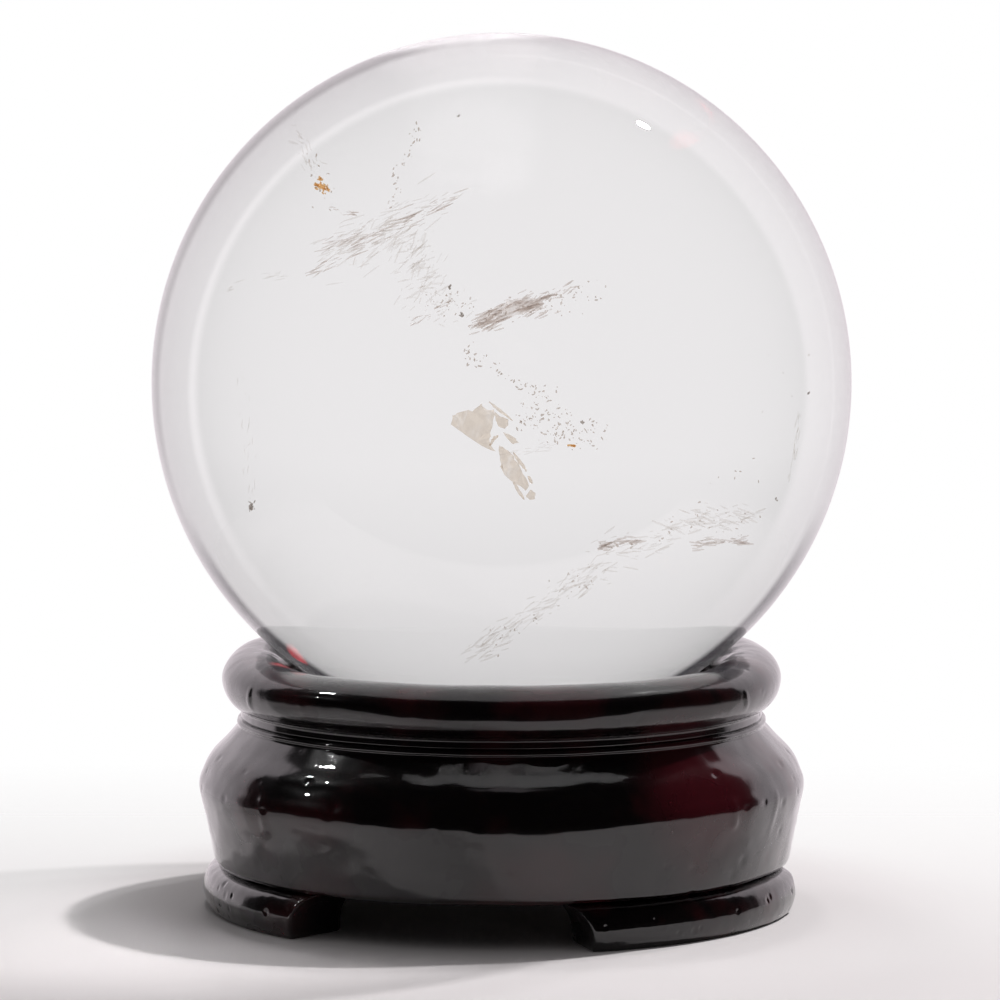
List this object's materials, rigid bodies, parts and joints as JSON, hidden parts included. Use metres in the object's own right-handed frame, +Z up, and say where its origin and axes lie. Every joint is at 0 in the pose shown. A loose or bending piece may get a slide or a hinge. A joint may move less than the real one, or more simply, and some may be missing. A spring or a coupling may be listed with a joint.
{
  "type": "crystal ball",
  "caption": "Clear polished quartz ball resting in the rolled rim of a round, dark lacquered wooden stand with bracket feet.",
  "frame": {"origin": "on the floor under the middle of the ball and the stand", "axes": "+Z up, the way the ball lifts off; -Y is the front, where one arch is a little left of the middle"},
  "size_m": [0.08, 0.08, 0.0999],
  "materials": {
    "quartz": "polished clear natural quartz with faint veils",
    "lacquer": "turned wood under thick, glossy, very dark red-brown lacquer"
  },
  "bodies": {
    "stand": {"seat_ring": "lacquer", "drum": "lacquer", "foot_left": "lacquer", "foot_front_right": "lacquer", "foot_rear": "lacquer"},
    "ball": {"crystal_ball": "quartz"}
  },
  "joints": [
    {"name": "ball_lift", "type": "slide", "parent": "stand", "child": "ball", "axis": [0, 0, 1], "range_m": [0, 0.03]}
  ]
}
